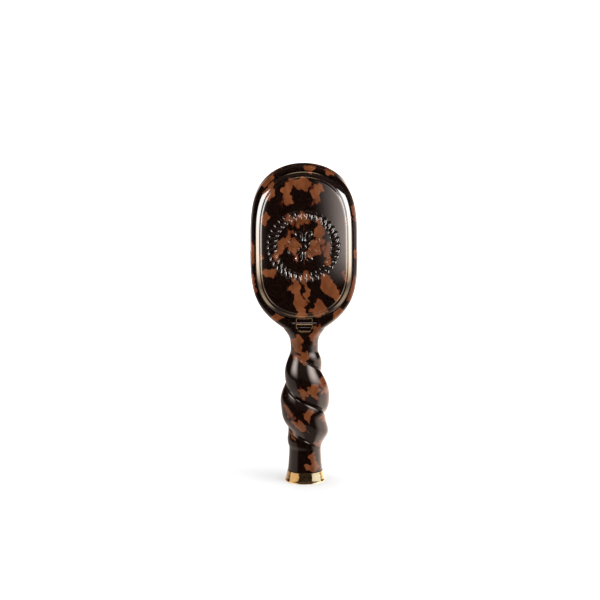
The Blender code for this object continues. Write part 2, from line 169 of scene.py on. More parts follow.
def carve(item, rings, operation="DIFFERENCE"):
    """Cuts or adds one closed skin and keeps the result as plain mesh."""
    shells = Shells()
    shells.skin(rings)
    tool = shells.build("tool")
    modifier = item.modifiers.new("cut", "BOOLEAN")
    modifier.operation = operation
    modifier.solver = "MANIFOLD"
    modifier.object = tool
    bake_modifiers(item)
    bpy.data.objects.remove(tool, do_unlink=True)


def round_edges(item, width, segments=3, angle=35.0):
    modifier = item.modifiers.new("edges", "BEVEL")
    modifier.width = width * MM
    modifier.segments = segments
    modifier.limit_method = "ANGLE"
    modifier.angle_limit = math.radians(angle)
    modifier.harden_normals = False
    bake_modifiers(item)


def smooth_step(value, low, high):
    t = np.clip((value - low) / (high - low), 0.0, 1.0)
    return t * t * (3.0 - 2.0 * t)


# ---------------------------------------------------------------- ovals and turned shapes
def oval(outline, y, inset):
    """Ring of an oval, given as (half width, bottom, top), at one y and drawn in by the inset."""
    half_width, bottom, top = outline
    angle = 2.0 * np.pi * (np.arange(OVAL_SIDES) + 0.5) / OVAL_SIDES
    # points gather near the sides, where the outline's power curve moves fastest
    angle = angle - OVAL_CROWDING * np.sin(2.0 * angle)
    up = np.sin(angle) >= 0.0
    height = np.where(up, top - inset - HEAD_WIDEST, HEAD_WIDEST - bottom - inset)
    rise = np.sign(np.sin(angle)) * np.abs(np.sin(angle)) ** (2.0 / OVAL_POWER) * height
    x = (half_width - inset) * np.cos(angle)
    return np.stack([x, np.full(OVAL_SIDES, float(y)), HEAD_WIDEST + rise], axis=1)


def oval_level(outline, x, z):
    """Zero at the oval's middle, one on its edge."""
    half_width, bottom, top = outline
    height = np.where(z >= HEAD_WIDEST, top - HEAD_WIDEST, HEAD_WIDEST - bottom)
    return np.sqrt((x / half_width) ** 2 + (np.abs(z - HEAD_WIDEST) / height) ** OVAL_POWER)


def turned(profile, sides):
    """Turned shape about the brush's own axis, from (radius, z) pairs."""
    turn = 2.0 * np.pi * np.arange(sides) / sides
    return np.array([np.stack([r * np.cos(turn), r * np.sin(turn), np.full(sides, z)], 1) for r, z in profile])


def turned_y(profile, x, z, sides):
    """Turned shape about a line along y, from (radius, y) pairs."""
    turn = 2.0 * np.pi * np.arange(sides) / sides
    return np.array([np.stack([x + r * np.cos(turn), np.full(sides, y), z + r * np.sin(turn)], 1)
                     for r, y in profile])


def turned_x(profile, y, z, sides):
    """Turned shape about a line along x, from (radius, x) pairs."""
    turn = 2.0 * np.pi * np.arange(sides) / sides
    return np.array([np.stack([np.full(sides, x), y + r * np.cos(turn), z + r * np.sin(turn)], 1)
                     for r, x in profile])


def rounded_profile(points, radius, steps=5, closed=True):
    """Replaces each corner of a profile by a small curve."""
    points = [np.array(p, float) for p in points]
    out, count = [], len(points)
    for i, corner in enumerate(points):
        if not closed and i in (0, count - 1):
            out.append(tuple(corner))
            continue
        before, after = points[i - 1] - corner, points[(i + 1) % count] - corner
        reach = min(radius, 0.45 * np.linalg.norm(before), 0.45 * np.linalg.norm(after))
        start = corner + before / np.linalg.norm(before) * reach
        end = corner + after / np.linalg.norm(after) * reach
        for t in np.linspace(0.0, 1.0, steps):
            out.append(tuple((1 - t) ** 2 * start + 2 * t * (1 - t) * corner + t ** 2 * end))
    return out


def plate(outline, y_range):
    """Closed skin of a flat plate from an (x, z) outline."""
    outline = np.asarray(outline, float)
    return np.array([np.stack([outline[:, 0], np.full(len(outline), y), outline[:, 1]], 1) for y in y_range])


def tab_outline(half_width, low, high, corner, steps=14):
    points = [(half_width, high), (-half_width, high)]
    for k in range(steps):
        turn = math.pi + 0.5 * math.pi * k / (steps - 1)
        points.append((corner * math.cos(turn) - half_width + corner, low + corner + corner * math.sin(turn)))
    for k in range(steps):
        turn = 1.5 * math.pi + 0.5 * math.pi * k / (steps - 1)
        points.append((corner * math.cos(turn) + half_width - corner, low + corner + corner * math.sin(turn)))
    return points


# ---------------------------------------------------------------- brush body
def head_half_width(z):
    height, power = HEAD_WIDEST - HEAD_BOTTOM, BOTTOM_POWER
    if z >= HEAD_WIDEST:
        height, power = HEAD_TOP - HEAD_WIDEST, TOP_POWER
    return HEAD_HALF_WIDTH * math.sqrt(max(1.0 - (abs(z - HEAD_WIDEST) / height) ** power, 0.0))


def even_ring(width, depth, corner_x, corner_y, slope, sides):
    """Ring with rounded corners and a slight fall towards them; points gather on the corners."""
    t = np.linspace(0.0, 0.5 * np.pi, 60)
    run = min(RIM_SLOPE_WIDTH, width - corner_x)
    d = np.linspace(0.0, 1.0, 12)[1:]
    drop = slope * (1.0 - d) ** 2
    corner = (width - corner_x + corner_x * np.cos(t), depth - slope - corner_y + corner_y * np.sin(t))
    quarter = np.concatenate([
        [[width, 0.0]],
        np.stack(corner, 1),
        np.stack([width - corner_x - run * d, depth - drop], 1),
        [[0.0, depth]],
    ])
    step = np.linalg.norm(np.diff(quarter, axis=0), axis=1)
    weight = np.ones(len(step))
    weight[1:60] = 1.0 + 5.0 * min(1.0, (width - corner_x) / 20.0)
    along = np.concatenate([[0.0], np.cumsum(step * weight)])
    marks = np.linspace(0.0, along[-1], sides // 4 + 1)
    x = np.interp(marks, along, quarter[:, 0])
    y = np.interp(marks, along, quarter[:, 1])
    first = np.stack([x[:-1], y[:-1]], 1)
    second = np.stack([-x[::-1][:-1], y[::-1][:-1]], 1)
    half = np.concatenate([first, second])
    return np.concatenate([half, -half])


def head_section(z):
    blend = float(smooth_step(z, NECK_BOTTOM, NECK_TOP))
    rim = float(smooth_step(z, NECK_BOTTOM, RIM_BLEND_TOP))
    neck = NECK_RADIUS + NECK_FLARE * math.exp(-(((z - NECK_FLARE_Z) / NECK_FLARE_LENGTH) ** 2))
    head = head_half_width(z)
    if z < HEAD_WIDEST:
        width = (head ** NECK_BLEND_POWER + neck ** NECK_BLEND_POWER) ** (1.0 / NECK_BLEND_POWER)
        width = max(width * blend + neck * (1.0 - blend), NECK_RADIUS) if z > HEAD_BOTTOM else neck
    else:
        width = head
    depth = NECK_RADIUS + (HEAD_HALF_DEPTH - NECK_RADIUS) * blend
    if z > CROWN_START:
        fall = math.sqrt(max(1.0 - ((z - CROWN_START) / (HEAD_TOP - CROWN_START)) ** 2, 0.0))
        depth -= RIM_DROP * (1.0 - fall)
    corner_x = min(NECK_RADIUS + (RIM_WIDTH - NECK_RADIUS) * rim, width * 0.98)
    corner_y = min(NECK_RADIUS + (RIM_DROP - NECK_RADIUS) * rim, depth * 0.999)
    slope = RIM_SLOPE_DROP * rim
    if z > HEAD_WIDEST:
        near = max(1.0 - (HEAD_TOP - z - RIM_WIDTH) / RIM_SLOPE_WIDTH, 0.0)
        depth -= RIM_SLOPE_DROP * min(near, 1.0) ** 2
        slope *= 1.0 - min(near, 1.0)
    corner_y = min(corner_y, (depth - slope) * 0.999)
    ring = even_ring(width, depth, corner_x, corner_y, slope, BODY_SIDES)
    return np.stack([-ring[:, 0], HEAD_SHIFT_Y * blend - ring[:, 1], np.full(BODY_SIDES, z)], 1)


def handle_radius(z):
    low = LOWER_RADIUS + LOWER_FLARE * math.exp(-z / LOWER_FLARE_LENGTH)
    share = float(smooth_step(z, TWIST_MIDDLE - 30.0, TWIST_MIDDLE + 30.0))
    return low * (1.0 - share) + NECK_RADIUS * share


def crease_angle(z):
    s = min(max((z - TWIST_MIDDLE) / TWIST_HALF_LENGTH, -1.0), 1.0)
    return TWIST_PHASE_DEG - (z - TWIST_MIDDLE) * TWIST_RATE_DEG - TWIST_END_TURN_DEG * s ** 3


def handle_sway(z):
    return sum(reach * math.exp(-((z - middle) / length) ** 2) for middle, length, reach in HANDLE_SWAYS)


def handle_section(z):
    s = (z - TWIST_MIDDLE) / TWIST_HALF_LENGTH
    bare = 1.0 - abs(s) ** TWIST_SWELL_POWER
    swell = 0.5 * (bare + math.sqrt(bare * bare + 0.0025))
    fade = max(1.0 - abs(s) ** CREASE_FADE_POWER, 0.0)
    crest = handle_radius(z) + TWIST_SWELL * swell
    depth = CREASE_DEPTH * fade
    around = 2.0 * np.pi * np.arange(BODY_SIDES) / BODY_SIDES
    u = np.abs(np.sin(around))
    radius = crest * (depth * u + np.sqrt(1.0 - depth ** 2 * (1.0 - u * u))) / (1.0 + depth)
    radius = radius - GROOVE_DEPTH * fade ** 2 * np.exp(-(u / GROOVE_WIDTH) ** 2)
    turn = math.radians(crease_angle(z)) + around
    turn = turn - math.radians(TWIST_LEAN_DEG) * fade * np.cos(turn)
    x = handle_sway(z) - radius * np.cos(turn)
    return np.stack([x, -radius * np.sin(turn), np.full(BODY_SIDES, z)], 1)


def body_rings():
    low, twist_top = float(BODY_LOW[2]), TWIST_MIDDLE + TWIST_HALF_LENGTH
    rings = [handle_section(z) for z in np.linspace(low, twist_top, 190)]
    heights = list(np.linspace(100.2, 132.0, 64)) + list(np.linspace(133.0, HEAD_WIDEST, 42))
    # rings crowd towards the crown, and the last one stays just below it
    crowding = np.sin(0.5 * np.pi * np.linspace(0.0, 1.0, 110)[1:])
    heights += list(HEAD_WIDEST + (HEAD_TOP - 0.025 - HEAD_WIDEST) * crowding)
    shift = round(crease_angle(twist_top) / 360.0 * BODY_SIDES) % BODY_SIDES
    return np.array(rings + [np.roll(head_section(z), -shift, axis=0) for z in heights])


def knuckle_outline():
    turn = 0.5 * np.pi + np.pi * np.arange(25) / 24
    r = KNUCKLE_RADIUS
    outline = [(KNUCKLE_BACK_Y, HINGE[2] - r), (KNUCKLE_BACK_Y, HINGE[2] + r)]
    outline += list(zip(HINGE[1] + r * np.cos(turn), HINGE[2] + r * np.sin(turn)))
    return outline


def along_x(outline, xs, scales):
    """Closed skin of a (y, z) outline swept along x, scaled about its middle at each x."""
    outline = np.array(outline)
    middle = outline.mean(axis=0)
    rings = []
    for x, scale in zip(xs, scales):
        p = middle + (outline - middle) * scale
        rings.append(np.stack([np.full(len(p), x), p[:, 0], p[:, 1]], 1))
    return np.array(rings)


def build_body(material):
    shells = Shells()
    shells.skin(body_rings())
    body = shells.build("brush_shell")
    back = HEAD_SHIFT_Y - HEAD_HALF_DEPTH
    front = HEAD_SHIFT_Y + HEAD_HALF_DEPTH
    # each cutter runs inwards from outside the head, in (outline, y, inset) steps that round its edges
    seat = ((SEAT, -OUTSIDE_Y, -0.9), (SEAT, back - 0.15, -0.55), (SEAT, back + 0.12, -0.22),
            (SEAT, back + 0.45, -0.05), (SEAT, back + 0.8, 0.0), (SEAT, SEAT_FLOOR_Y, 0.0),
            (COMPARTMENT, SEAT_FLOOR_Y, -0.3), (COMPARTMENT, SEAT_FLOOR_Y + 0.3, 0.0),
            (COMPARTMENT, COMPARTMENT_FLOOR_Y - 1.2, 0.0), (COMPARTMENT, COMPARTMENT_FLOOR_Y - 0.3, 0.3),
            (COMPARTMENT, COMPARTMENT_FLOOR_Y, 1.2))
    well = ((CUSHION_POCKET, OUTSIDE_Y, -0.6), (CUSHION_POCKET, front + 0.1, -0.35),
            (CUSHION_POCKET, front - 0.2, -0.1), (CUSHION_POCKET, front - 0.6, 0.0),
            (CUSHION_POCKET, CUSHION_LEDGE_Y, 0.0), (CUSHION_WELL, CUSHION_LEDGE_Y, 0.0),
            (CUSHION_WELL, WELL_FLOOR_Y, 0.0))
    for cutter in (seat, well):
        carve(body, [oval(outline, y, inset) for outline, y, inset in cutter])
    half, low, high, corner = LEVER_POCKET
    steps = ((-OUTSIDE_Y, 0.7), (-10.25, 0.5), (-10.0, 0.22), (-9.6, 0.0), (-3.2, 0.0), (-2.5, -0.4),
             (-2.3, -1.0))
    carve(body, [plate(tab_outline(half + g, low - g, high, corner + g), (y,))[0] for y, g in steps])
    half, low, high = PIN_POCKET
    pocket = rounded_profile([(-half, low), (half, low), (half, high), (-half, high)], 0.4)
    carve(body, plate(pocket, (-OUTSIDE_Y, -7.8)))
    carve(body, turned_y([(2.3, -12.0), (2.3, -5.5)], 0.0, MAGNET_Z, 48))
    carve(body, turned([(7.0, 3.0), (7.0, 30.0), (1.9, 30.0), (1.9, 40.0)], 64))
    for side in (-1.0, 1.0):
        xs = [side * v for v in KNUCKLE_ENDS]
        carve(body, along_x(knuckle_outline(), xs, KNUCKLE_SCALES), operation="UNION")
    carve(body, turned_x([(PIN_BORE_RADIUS, -9.45), (PIN_BORE_RADIUS, 9.45)], HINGE[1], HINGE[2], 32))
    dress(body, material, 38.0)
    return body


# ---------------------------------------------------------------- back panel
def crown(inset):
    """Height of the panel's face, more strongly crowned towards its edge."""
    share = min(max((PANEL[0] - inset) / (PANEL[0] - 4.6), 0.0), 1.0)
    return -13.1 + 0.80 * share ** 2.6


FACE_INSETS = (35.9, 34.0, 32.0, 30.0, 28.0, 26.0, 24.0, 22.0, 20.0, 18.0, 16.0, 14.0,
               12.5, 11.0, 9.8, 8.7, 7.7, 6.9, 6.2, 5.6)
PANEL_PROFILE = tuple((i, crown(i)) for i in FACE_INSETS) + (
    (5.1, -12.32), (4.75, -12.24), (4.5, -12.12), (4.3, -11.96), (4.16, -11.80), (4.06, -11.74),
    (3.8, -11.74), (3.5, -11.72), (3.2, -11.64), (2.9, -11.54), (2.5, -11.38), (2.1, -11.19), (1.7, -10.97),
    (1.3, -10.71), (0.95, -10.45), (0.65, -10.20), (0.4, -9.95), (0.22, -9.70), (0.09, -9.42), (0.0, -9.1),
    (0.0, -7.6), (0.2, -7.4), (1.8, -7.4), (2.0, -7.6), (2.2, -9.4), (2.8, -9.65), (10.0, -10.1),
    (20.0, -10.25), (35.0, -10.3),
)


def panel_top(x, z):
    """Height of the panel's crowned face at a point well inside its edge."""
    level = np.clip(1.0 - oval_level(PANEL, x, z), 0.0, 1.0) * PANEL[0]
    insets, heights = zip(*PANEL_PROFILE[len(FACE_INSETS) - 1::-1])
    return np.interp(level, insets, heights)


def rope_border(shells):
    """Ring of slanted, overlapping beads in low relief."""
    per_bead, across, bury = 26, 46, -0.5
    turns, half_length, half_width, rise, slant = EMBLEM_BEADS * per_bead, 3.85, 2.5, 1.55, 0.34
    phi = 2.0 * np.pi * np.arange(turns) / turns
    rho = np.linspace(-1.0, 1.0, across) * half_length
    grid_phi, grid_rho = np.meshgrid(phi, rho, indexing="ij")
    reach = EMBLEM_RADIUS + grid_rho
    pitch = 2.0 * np.pi / EMBLEM_BEADS
    height = np.full(grid_phi.shape, bury)
    nearest = np.round(grid_phi / pitch)
    for neighbour in (-2, -1, 0, 1, 2):
        centre = (nearest + neighbour) * pitch
        spread = 1.0 + 0.6 * grid_rho / EMBLEM_RADIUS
        along = EMBLEM_RADIUS * (grid_phi - centre) * spread - slant * grid_rho
        inside = 1.0 - (grid_rho / half_length) ** 2 - (along / half_width) ** 2
        dome = rise * np.sqrt(np.clip(inside, 0.0, None)) * (1.0 + 0.10 * along / half_width)
        height = np.maximum(height, np.where(inside > 0.0, dome, bury))
    x = reach * np.cos(grid_phi)
    z = EMBLEM_Z + reach * np.sin(grid_phi)
    base = panel_top(x, z)
    top = np.stack([x, base - height, z], axis=2)
    under = np.stack([x, base + 0.7, z], axis=2)
    strip = np.concatenate([top, under[:, ::-1]], axis=1)
    shells.skin(strip, closed_chain=True)


def rosette(shells):
    """Eight low petals, each with a raised edge, round a small button."""
    s = 2.0 * np.pi * np.arange(72) / 72
    levels = ((1.0, -0.4), (1.0, 0.15), (0.965, 0.42), (0.9, 0.52), (0.82, 0.42), (0.74, 0.22), (0.6, 0.2),
              (0.3, 0.3), (0.04, 0.34))
    for k in range(8):
        turn = 2.0 * math.pi * (k + 0.5) / 8
        rings = []
        for scale, rise in levels:
            out = 8.2 + 4.8 * scale * np.cos(s)
            across = scale * (2.45 + 0.8 * np.cos(s)) * np.sin(s)
            x = out * math.cos(turn) - across * math.sin(turn)
            z = EMBLEM_Z + out * math.sin(turn) + across * math.cos(turn)
            rings.append(np.stack([x, panel_top(x, z) - rise, z], axis=1))
        shells.skin(rings)
    button = []
    for radius, rise in ((2.3, -0.4), (2.3, 0.3), (2.05, 0.6), (1.5, 0.75), (0.8, 0.8), (0.05, 0.82)):
        x, z = radius * np.cos(s), EMBLEM_Z + radius * np.sin(s)
        button.append(np.stack([x, panel_top(x, z) - rise, z], axis=1))
    shells.skin(button)


def build_emblem(material):
    shells = Shells()
    rope_border(shells)
    rosette(shells)
    return shells.build("emblem_relief", material, 38.0)


def build_panel(material):
    shells = Shells()
    shells.skin([oval(PANEL, y, inset) for inset, y in PANEL_PROFILE])
    return shells.build("panel_shell", material, 38.0)


def build_lever(material):
    shells = Shells()
    leaf = Shells()
    half, low, high = 6.1, 115.6, 127.0
    leaf.skin(plate(tab_outline(half, low, high, 3.0), (-9.9, -8.5)))
    lever = leaf.build("leaf")
    round_edges(lever, 0.35)
    rim = Shells()
    shape = np.array(tab_outline(half - 0.75, low + 0.75, 119.6, 2.4))
    rim.skin(plate(shape, (-10.6, -9.2)))
    raised = rim.build("rim")
    round_edges(raised, 0.4)
    inner = np.array(tab_outline(half - 1.7, low + 1.7, 119.2, 1.7))
    carve(raised, plate(inner, (-12.0, -10.05)))
    for part in (lever, raised):
        points = [v.co / MM for v in part.data.vertices]
        shells.add(points, [tuple(p.vertices) for p in part.data.polygons])
        bpy.data.objects.remove(part, do_unlink=True)
    barrel = [(0.9, -half), (1.15, -half + 0.06), (1.3, -half + 0.25)]
    barrel += [(1.3, half - 0.25), (1.15, half - 0.06), (0.9, half)]
    tube = barrel + [(PIN_BORE_RADIUS, half), (PIN_BORE_RADIUS, -half)]
    shells.skin(turned_x(tube, HINGE[1], HINGE[2], 40), closed_chain=True)
    return shells.build("panel_lever", material, 38.0)


# ---------------------------------------------------------------- cushion and bristles
def dome_y(x, z):
    """Height of the cushion's crowned face."""
    rise = np.clip(1.0 - oval_level(CUSHION, x, z) ** 2, 0.0, None)
    return CUSHION_TOP_Y + CUSHION_RISE * rise - CUSHION_SINK


def row_positions(z, index):
    """The x of each bristle in a row; every other row is shifted by half a pitch."""
    offset = 0.5 * BRISTLE_PITCH if index % 2 else 0.0
    xs = offset + BRISTLE_PITCH * np.arange(-6, 7)
    half_width, bottom, top = CUSHION
    inside = (half_width - BRISTLE_EDGE, bottom + BRISTLE_EDGE, top - BRISTLE_EDGE)
    return [float(x) for x in xs if oval_level(inside, x, z) < 1.0]


def rows():
    steps = np.arange(ROW_COUNT) - 0.5 * (ROW_COUNT - 1)
    return [(i, float(z)) for i, z in enumerate(ROWS_MIDDLE_Z + ROW_PITCH * steps)]


def build_cushion(material):
    """Air-cushion skin: crowned, pulled down slightly between its pins, with a moulded collar at each."""
    shells = Shells()
    pins = np.array([(x, z) for i, z in rows() for x in row_positions(z, i)])
    rings = []
    for inset in list(np.arange(33.5, 3.0, -0.8)) + [2.9]:
        ring = oval(CUSHION, 0.0, inset)
        ring[:, 1] = dome_y(ring[:, 0], ring[:, 2])
        across, along = ring[:, None, 0] - pins[None, :, 0], ring[:, None, 2] - pins[None, :, 1]
        gap = np.sqrt(across ** 2 + along ** 2).min(axis=1)
        ring[:, 1] -= 0.32 * np.exp(-(gap / 2.2) ** 2)
        rings.append(ring)
    flange = ((2.7, 6.72), (2.4, 6.85), (0.5, 7.0), (0.15, 6.9), (0.0, 6.7), (0.0, 5.8), (0.3, 5.5),
              (3.0, 5.5))
    rings += [oval(CUSHION, y, inset) for inset, y in flange]
    for inset in list(np.arange(4.0, 33.6, 2.0)):
        ring = oval(CUSHION, 0.0, inset)
        ring[:, 1] = dome_y(ring[:, 0], ring[:, 2]) - CUSHION_THICKNESS
        rings.append(ring)
    shells.skin(rings)
    for x, z in pins:
        y = float(dome_y(x, z))
        collar = [(1.0, y - 0.9), (1.0, y + 0.22), (1.12, y + 0.36), (1.4, y + 0.42), (1.7, y + 0.34),
                  (2.0, y + 0.08), (2.3, y - 0.25), (2.3, y - 0.9)]
        shells.skin(turned_y(collar, x, z, 24), closed_chain=True)
    return shells.build("cushion_skin", material, 50.0)


def build_rows(material):
    made = []
    for index, z in rows():
        xs = row_positions(z, index)
        shells = Shells()
        ends = (xs[0] - 2.0, xs[-1] + 2.0)
        corners = [(ends[0], z - 1.5), (ends[1], z - 1.5), (ends[1], z + 1.5), (ends[0], z + 1.5)]
        shells.skin(plate(rounded_profile(corners, 0.6), (0.9, 2.6)))
        for x in xs:
            tip = float(dome_y(x, z)) + BRISTLE_RISE
            profile = [(0.85, 2.0), (0.8, 3.4), (0.72, tip - 8.0), (0.6, tip - 2.2), (0.58, tip - 1.85)]
            ball = np.pi * (np.arange(3, 16)) / 16.0
            centre = tip - BALL_RADIUS
            profile += [(BALL_RADIUS * math.sin(t), centre - BALL_RADIUS * math.cos(t)) for t in ball]
            shells.skin(turned_y(profile, x, z, 16))
        name = "bristle_row_{:02d}".format(index + 1)
        made.append((name, shells.build("pins_{:02d}".format(index + 1), material, 50.0)))
    return made


def build_retainer(material):
    shells = Shells()
    shape = rounded_profile([(0.0, 7.6), (0.0, 9.2), (2.6, 9.2), (2.6, 7.6)], 0.6, 7)
    shells.skin([oval(CUSHION, y, inset) for inset, y in shape], closed_chain=True)
    return shells.build("retainer_ring", material, 40.0)


# ---------------------------------------------------------------- small parts
def build_small(looks):
    made = {}

    def turned_piece(name, node, profile, material, body="brush", sides=128, closed=True):
        shells = Shells()
        shells.skin(turned(profile, sides), closed_chain=closed)
        made[name] = (shells.build(name, material, 30.0), node, body)

    cap = [(12.7, 8.0), (13.0, 8.0), (13.17, 7.95), (13.24, 7.8), (13.27, 7.6), (13.45, 6.9), (13.62, 6.2)]
    cap += [(13.82, 5.3), (14.02, 4.4), (14.22, 3.6), (14.42, 2.7), (14.62, 1.9), (14.82, 1.25), (14.98, 0.85)]
    cap += [(15.05, 0.55), (15.02, 0.28), (14.9, 0.08), (14.7, 0.0), (13.3, 0.0), (13.12, 0.1), (13.0, 0.3)]
    cap += [(13.0, 1.3), (3.9, 1.3), (3.9, 3.6), (1.9, 3.6), (1.9, 8.0)]
    turned_piece("foot_band", "foot_cap", cap, looks["gold"])
    pad = rounded_profile([(12.7, 0.0), (12.7, 1.0), (0.4, 1.0), (0.4, 0.0)], 0.25, 4)
    turned_piece("foot_grip", "foot_pad", pad, looks["pad"])
    weight = rounded_profile([(6.7, 28.5), (6.7, 8.4), (2.0, 8.4), (2.0, 28.5)], 0.5, 4)
    turned_piece("foot_slug", "foot_weight", weight, looks["steel"], sides=64)
    screw = [(0.6, 1.35), (3.2, 1.35), (3.45, 1.5), (3.5, 1.8), (3.5, 3.1), (3.3, 3.3), (1.6, 3.3), (1.6, 12.0)]
    for k in range(50):
        z = 12.2 + 0.5 * k
        screw += [(1.6, z), (1.36, z + 0.25)]
    screw += [(1.6, 37.6), (1.2, 38.3), (0.5, 38.5)]
    turned_piece("foot_bolt", "foot_screw", screw, looks["steel"], sides=32, closed=False)

    pin = [(0.15, -PIN_HALF_LENGTH), (0.34, -9.14), (0.45, -8.95)]
    pin += [(0.45, 8.95), (0.34, 9.14), (0.15, PIN_HALF_LENGTH)]
    shells = Shells()
    shells.skin(turned_x(pin, HINGE[1], HINGE[2], 32))
    made["hinge_rod"] = (shells.build("hinge_rod", looks["steel"], 30.0), "hinge_pin", "brush")

    for name, node, body, (low, high) in (("panel_disc", "panel_magnet", "panel", (-9.3, -8.1)),
                                          ("body_disc", "body_magnet", "brush", (-7.0, -5.8))):
        disc = rounded_profile([(0.2, low), (2.0, low), (2.0, high), (0.2, high)], 0.2, 4, closed=False)
        shells = Shells()
        shells.skin(turned_y(disc, 0.0, MAGNET_Z, 48))
        made[name] = (shells.build(name, looks["steel"], 30.0), node, body)

    low, high = float(MIRROR_LOW[1]), float(MIRROR_HIGH[1])
    glass = [(33.0, low), (0.0, low), (0.0, high - 0.45), (0.25, high - 0.2), (1.6, high), (33.0, high)]
    shells = Shells()
    shells.skin([oval(MIRROR, y, inset) for inset, y in glass])
    made["mirror_plate"] = (shells.build("mirror_plate", looks["mirror"], 10.0), "panel_mirror", "panel")
    return made


# ---------------------------------------------------------------- materials
PAD_TONES = (0.030, 0.029, 0.028), (0.055, 0.053, 0.050)
CUSHION_TONES = (0.020, 0.012, 0.009), (0.040, 0.026, 0.020)
NYLON_TONES = (0.014, 0.009, 0.007), (0.034, 0.021, 0.015)


class Nodes:
    """Short way to write a node tree."""

    def __init__(self, tree):
        self.tree = tree
        tree.nodes.clear()

    def add(self, kind, inputs=None, **settings):
        node = self.tree.nodes.new(kind)
        for key, value in settings.items():
            setattr(node, key, value)
        for key, value in (inputs or {}).items():
            if hasattr(value, "is_output"):
                self.tree.links.new(value, node.inputs[key])
            else:
                node.inputs[key].default_value = value
        return node

    def math(self, operation, a, b=0.0, c=0.0):
        return self.add("ShaderNodeMath", {0: a, 1: b, 2: c}, operation=operation).outputs[0]

    def scaled(self, vector, x, y, z):
        return self.add("ShaderNodeVectorMath", {0: vector, 1: (x, y, z)}, operation="MULTIPLY").outputs[0]

    def step(self, value, low, high):
        return self.add("ShaderNodeMapRange", {"Value": value, "From Min": low, "From Max": high},
                        interpolation_type="SMOOTHSTEP").outputs[0]

    def noise(self, vector, scale, detail=2.0, roughness=0.5):
        inputs = {"Vector": vector, "Scale": scale, "Detail": detail, "Roughness": roughness}
        return self.add("ShaderNodeTexNoise", inputs).outputs["Fac"]

    def ramp(self, fac, stops):
        node = self.add("ShaderNodeValToRGB", {"Fac": fac})
        while len(node.color_ramp.elements) < len(stops):
            node.color_ramp.elements.new(0.5)
        for element, (place, color) in zip(node.color_ramp.elements, stops):
            element.position = place
            element.color = (*color, 1.0)
        return node.outputs["Color"]

    def mix(self, fac, a, b):
        node = self.add("ShaderNodeMix", data_type="RGBA")
        for index, value in ((0, fac), (6, a), (7, b)):
            if hasattr(value, "is_output"):
                self.tree.links.new(value, node.inputs[index])
            else:
                node.inputs[index].default_value = value
        return node.outputs[2]


def new_look(name):
    material = bpy.data.materials.new(name)
    material.use_nodes = True
    nodes = Nodes(material.node_tree)
    # positions in millimetres, so every scale below is per millimetre
    place = nodes.add("ShaderNodeTexCoord").outputs["Object"]
    return material, nodes, nodes.scaled(place, 1000.0, 1000.0, 1000.0)


def finish_look(nodes, inputs):
    shader = nodes.add("ShaderNodeBsdfPrincipled", inputs)
    nodes.add("ShaderNodeOutputMaterial", {"Surface": shader.outputs[0]})


def bump(nodes, height, strength, distance):
    inputs = {"Height": height, "Strength": strength, "Distance": distance * MM}
    return nodes.add("ShaderNodeBump", inputs).outputs[0]


def tortoiseshell():
    material, nodes, place = new_look("tortoiseshell_polished")
    stretched = nodes.scaled(place, 1.0, 1.0, 0.66)
    # slow warp, so that patch edges scallop instead of following one noise
    warp = nodes.add("ShaderNodeTexNoise", {"Vector": stretched, "Scale": 0.17, "Detail": 1.0})
    warp = warp.outputs["Color"]
    warp = nodes.add("ShaderNodeVectorMath", {0: warp, 1: (0.5, 0.5, 0.5)}, operation="SUBTRACT").outputs[0]
    warp = nodes.scaled(warp, 8.0, 8.0, 8.0)
    moved = nodes.add("ShaderNodeVectorMath", {0: stretched, 1: warp}, operation="ADD").outputs[0]
    large = nodes.noise(moved, 0.095, 1.2, 0.5)
    fine = nodes.noise(moved, 0.42, 1.0, 0.5)
    lean = nodes.add("ShaderNodeAttribute", attribute_name="amber").outputs["Fac"]
    steer = nodes.add("ShaderNodeAttribute", attribute_name="steer").outputs["Fac"]
    share = nodes.math("MULTIPLY_ADD", steer, -0.45, 1.0)
    field = nodes.math("MULTIPLY", nodes.math("SUBTRACT", large, 0.5), share)
    field = nodes.math("ADD", field, nodes.math("MULTIPLY", nodes.math("SUBTRACT", fine, 0.5), 0.19))
    field = nodes.math("ADD", field, lean)
    tone = nodes.noise(stretched, 0.18, 2.0, 0.55)
    ambers = ((0.25, (0.105, 0.030, 0.010)), (0.55, (0.168, 0.051, 0.018)), (0.8, (0.225, 0.074, 0.027)))
    amber = nodes.ramp(tone, ambers)
    murk = nodes.noise(place, 0.5, 2.0, 0.5)
    dark = nodes.ramp(murk, ((0.3, (0.0036, 0.0014, 0.0009)), (0.75, (0.0090, 0.0034, 0.0020))))
    edge = nodes.step(field, 0.010, 0.030)
    blush = nodes.step(field, 0.028, 0.074)
    color = nodes.mix(edge, dark, (0.058, 0.011, 0.005, 1.0))
    color = nodes.mix(blush, color, amber)
    ripple = nodes.noise(place, 0.11, 1.0, 0.4)
    haze = nodes.noise(place, 1.6, 3.0, 0.6)
    rough = nodes.math("MULTIPLY_ADD", haze, 0.03, 0.04)
    normal = bump(nodes, ripple, 0.25, 0.05)
    finish_look(nodes, {"Base Color": color, "Roughness": rough, "IOR": 1.52, "Normal": normal})
    return material


def gold():
    material, nodes, place = new_look("gold_polished")
    tint = nodes.ramp(nodes.noise(place, 0.25, 2.0), ((0.3, (0.78, 0.54, 0.25)), (0.75, (0.88, 0.66, 0.36))))
    marks = nodes.noise(nodes.scaled(place, 0.25, 0.25, 9.0), 1.0, 3.0, 0.6)
    rough = nodes.math("MULTIPLY_ADD", marks, 0.09, 0.06)
    normal = bump(nodes, nodes.noise(place, 0.32, 2.0, 0.5), 0.5, 0.25)
    finish_look(nodes, {"Base Color": tint, "Metallic": 1.0, "Roughness": rough, "Normal": normal})
    return material


